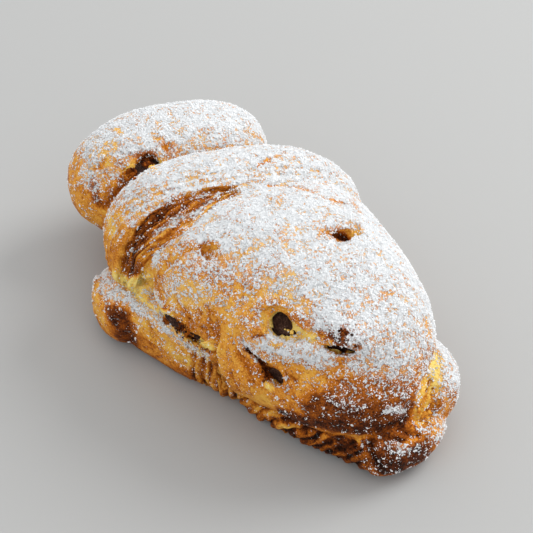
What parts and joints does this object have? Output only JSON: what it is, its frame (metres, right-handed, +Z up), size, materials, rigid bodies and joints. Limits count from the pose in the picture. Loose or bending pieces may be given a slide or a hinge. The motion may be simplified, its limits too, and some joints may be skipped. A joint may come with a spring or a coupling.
{
  "type": "croissant cookie",
  "caption": "Rolled, filled croissant of flaky dough, burst open along its front, where the dark filling shows, on a flat baked base.",
  "frame": {"origin": "middle of the bounding box, at the level of the flat baked base", "axes": "+X along the roll from the far folded end to the narrow near end, -Y towards the side that has burst open, +Z up"},
  "size_m": [0.1258, 0.0704, 0.0476],
  "materials": {
    "dough": "baked flaky dough, golden to dark brown, dusted with icing sugar",
    "filling": "set dark chocolate cream, slightly glossy"
  },
  "bodies": {
    "root": {"dough": "dough", "filling": "filling"}
  },
  "joints": []
}
